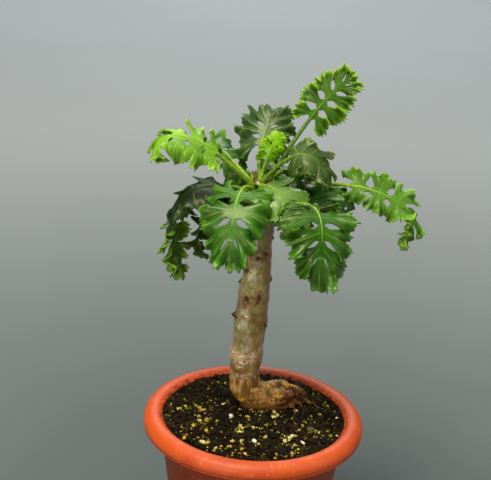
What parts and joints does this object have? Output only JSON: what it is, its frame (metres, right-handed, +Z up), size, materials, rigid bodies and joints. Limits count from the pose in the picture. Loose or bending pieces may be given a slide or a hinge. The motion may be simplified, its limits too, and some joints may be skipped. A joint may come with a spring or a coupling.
{
  "type": "potted succulent plant",
  "caption": "Potted tree-like pelargonium: a round tapered pot with a rolled rim, gritty soil, a thick scarred stem with a swollen foot and a crown of drooping, deeply lobed leaves.",
  "frame": {"origin": "middle of the pot's flat base, on the surface that it stands on", "axes": "+Z up, out of the pot's mouth; +X to the picture's right; +Y away from its camera"},
  "size_m": [0.1738, 0.1429, 0.3379],
  "materials": {
    "pot_plastic": "moulded terracotta-coloured plastic, satin, with pale dust",
    "soil": "damp dark potting mix with pale grit",
    "bark": "waxy grey-tan succulent skin with scars and a peeling band",
    "foliage_left_upper": "waxy lobed leaf with a pale rib",
    "foliage_far_left": "waxy lobed leaf with a pale rib",
    "foliage_left_dark": "waxy lobed leaf with a pale rib",
    "foliage_front_left": "waxy lobed leaf with a pale rib",
    "foliage_front_right": "waxy lobed leaf with a pale rib",
    "foliage_far_right": "waxy lobed leaf with a pale rib",
    "foliage_top_right": "waxy lobed leaf with a pale rib",
    "foliage_top": "waxy lobed leaf with a pale rib",
    "foliage_right_dull": "waxy lobed leaf with a pale rib",
    "foliage_right_glossy": "waxy lobed leaf with a pale rib",
    "foliage_front_pale": "waxy lobed leaf with a pale rib",
    "foliage_young": "waxy lobed leaf with a pale rib",
    "foliage_back_left": "waxy lobed leaf with a pale rib",
    "foliage_right_inner": "waxy lobed leaf with a pale rib",
    "foliage_back_low": "waxy lobed leaf with a pale rib",
    "foliage_back_upper": "waxy lobed leaf with a pale rib",
    "foliage_back_right": "waxy lobed leaf with a pale rib",
    "foliage_back_middle": "waxy lobed leaf with a pale rib"
  },
  "bodies": {
    "root": {"pot": "pot_plastic", "soil": "soil", "stem": "bark", "leaf_left_upper": "foliage_left_upper", "leaf_far_left": "foliage_far_left", "leaf_left_dark": "foliage_left_dark", "leaf_front_left": "foliage_front_left", "leaf_front_right": "foliage_front_right", "leaf_far_right": "foliage_far_right", "leaf_top_right": "foliage_top_right", "leaf_top": "foliage_top", "leaf_right_dull": "foliage_right_dull", "leaf_right_glossy": "foliage_right_glossy", "leaf_front_pale": "foliage_front_pale", "leaf_young": "foliage_young", "leaf_back_left": "foliage_back_left", "leaf_right_inner": "foliage_right_inner", "leaf_back_low": "foliage_back_low", "leaf_back_upper": "foliage_back_upper", "leaf_back_right": "foliage_back_right", "leaf_back_middle": "foliage_back_middle"}
  },
  "joints": []
}
